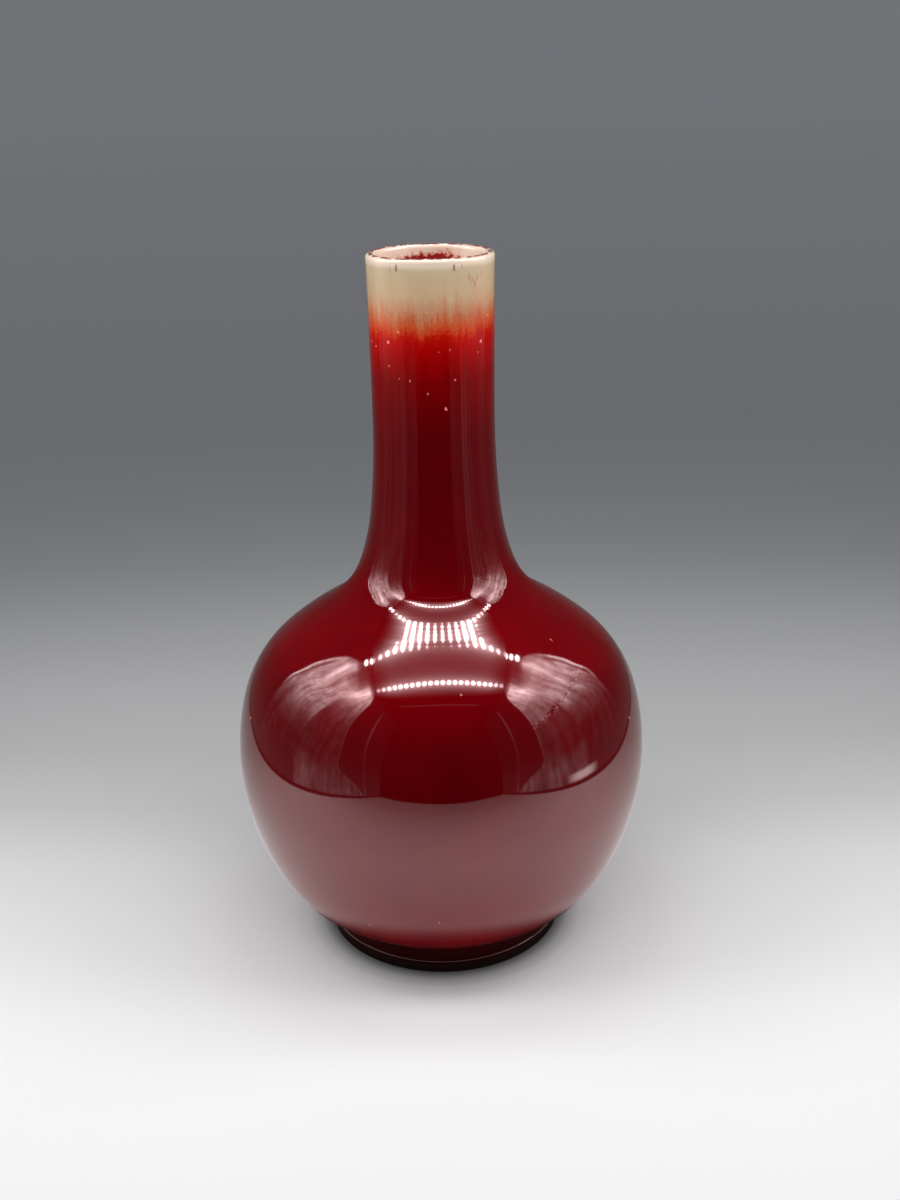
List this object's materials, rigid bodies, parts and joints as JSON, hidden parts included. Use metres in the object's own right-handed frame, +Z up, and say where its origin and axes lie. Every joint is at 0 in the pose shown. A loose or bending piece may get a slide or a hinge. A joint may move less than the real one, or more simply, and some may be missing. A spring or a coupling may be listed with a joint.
{
  "type": "long-necked bottle vase",
  "caption": "Free-standing bottle vase with a round belly, a long slender neck, a rounded lip and a foot ring, hollow inside, copper-red glaze outside.",
  "frame": {"origin": "centre of the foot ring's resting plane", "axes": "+Z up along the vase's axis; the vase is a figure of revolution, so X and Y are free"},
  "size_m": [0.2256, 0.2256, 0.38],
  "materials": {
    "clay": "fired body, bare only at the foot rim, where it is dressed dark brown",
    "slip": "thin fired slip in the luted joints, hidden",
    "red_glaze": "high-gloss copper-red glaze, pale cream at the mouth, running down in streaks to deep oxblood",
    "pale_glaze": "glossy pale cream glaze with a fine crackle"
  },
  "bodies": {
    "root": {"foot_ring": "clay", "foot_slip": "slip", "lower_belly": "clay", "belly_slip": "slip", "upper_belly": "clay", "neck_slip": "slip", "neck": "clay", "outer_glaze": "red_glaze", "inner_glaze": "pale_glaze", "base_glaze": "pale_glaze"}
  },
  "joints": []
}
